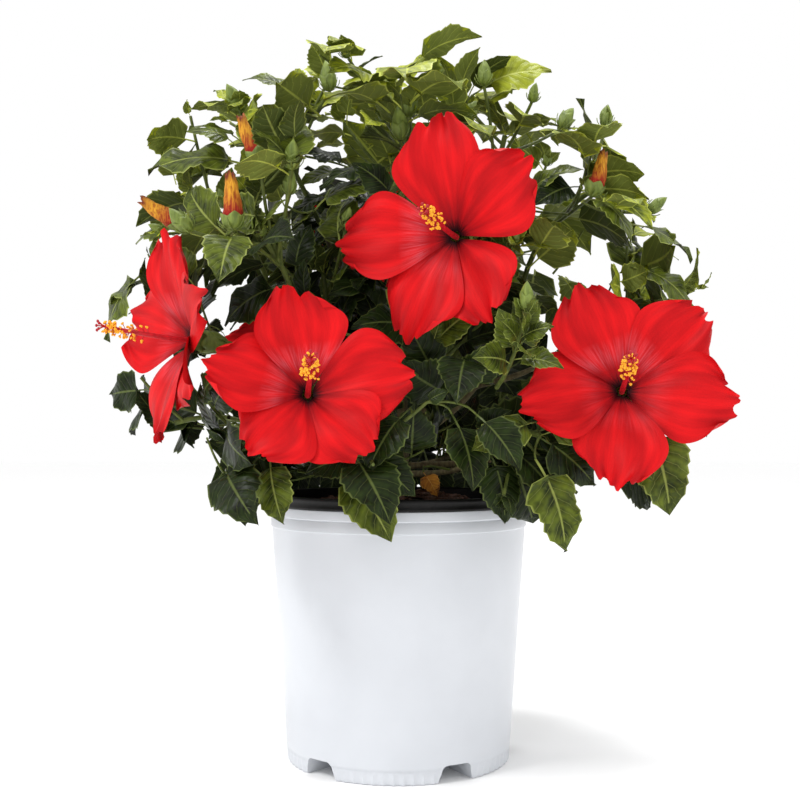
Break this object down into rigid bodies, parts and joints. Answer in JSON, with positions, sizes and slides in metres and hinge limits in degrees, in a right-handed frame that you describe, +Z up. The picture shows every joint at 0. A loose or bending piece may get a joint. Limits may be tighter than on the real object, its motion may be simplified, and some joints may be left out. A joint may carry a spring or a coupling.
{
  "type": "potted hibiscus shrub",
  "caption": "Leafy flowering hibiscus shrub with large five-petalled red blooms, standing in a round white nursery pot with a black rim.",
  "frame": {"origin": "centre of the pot's flat underside", "axes": "+Z up along the pot's axis, -Y towards the front of the plant, +X to its right seen from the front"},
  "size_m": [0.5145, 0.4734, 0.605],
  "materials": {
    "pot_white": "smooth, satin to glossy moulded plastic",
    "rim_black": "satin black moulded plastic",
    "soil": "loose dark potting mix with bark chips",
    "bark": "thin grey-brown bark, greener on young boughs",
    "leaf": "glossy leaf",
    "petal": "soft satin petal"
  },
  "bodies": {
    "root": {"pot_wall": "pot_white", "pot_rim": "rim_black", "potting_mix": "soil", "trunk": "bark", "bough_back_left": "bark", "bough_back_right": "bark", "bough_front": "bark", "bough_front_left": "bark", "bough_inner_left": "bark", "bough_inner_right": "bark", "bough_left": "bark", "bough_low_back_left": "bark", "bough_low_back_right": "bark", "bough_low_front": "bark", "bough_low_front_left": "bark", "bough_low_front_right": "bark", "bough_low_left": "bark", "bough_low_right": "bark", "bough_mid_back": "bark", "bough_mid_left": "bark", "bough_mid_right": "bark", "bough_right": "bark", "bough_top_back": "bark", "bough_top_front": "bark", "bough_top_left": "bark", "bough_top_right": "bark", "bloom_back_high": "petal", "bloom_back_low": "petal", "bloom_left": "petal", "bloom_low_left": "petal", "bloom_right": "petal", "bloom_top": "petal", "leaves_back_left": "leaf", "leaves_back_right": "leaf", "leaves_front": "leaf", "leaves_front_left": "leaf", "leaves_inner_left": "leaf", "leaves_inner_right": "leaf", "leaves_left": "leaf", "leaves_low_back_left": "leaf", "leaves_low_back_right": "leaf", "leaves_low_front": "leaf", "leaves_low_front_left": "leaf", "leaves_low_front_right": "leaf", "leaves_low_left": "leaf", "leaves_low_right": "leaf", "leaves_mid_back": "leaf", "leaves_mid_left": "leaf", "leaves_mid_right": "leaf", "leaves_right": "leaf", "leaves_top_back": "leaf", "leaves_top_front": "leaf", "leaves_top_left": "leaf", "leaves_top_right": "leaf"}
  },
  "joints": []
}
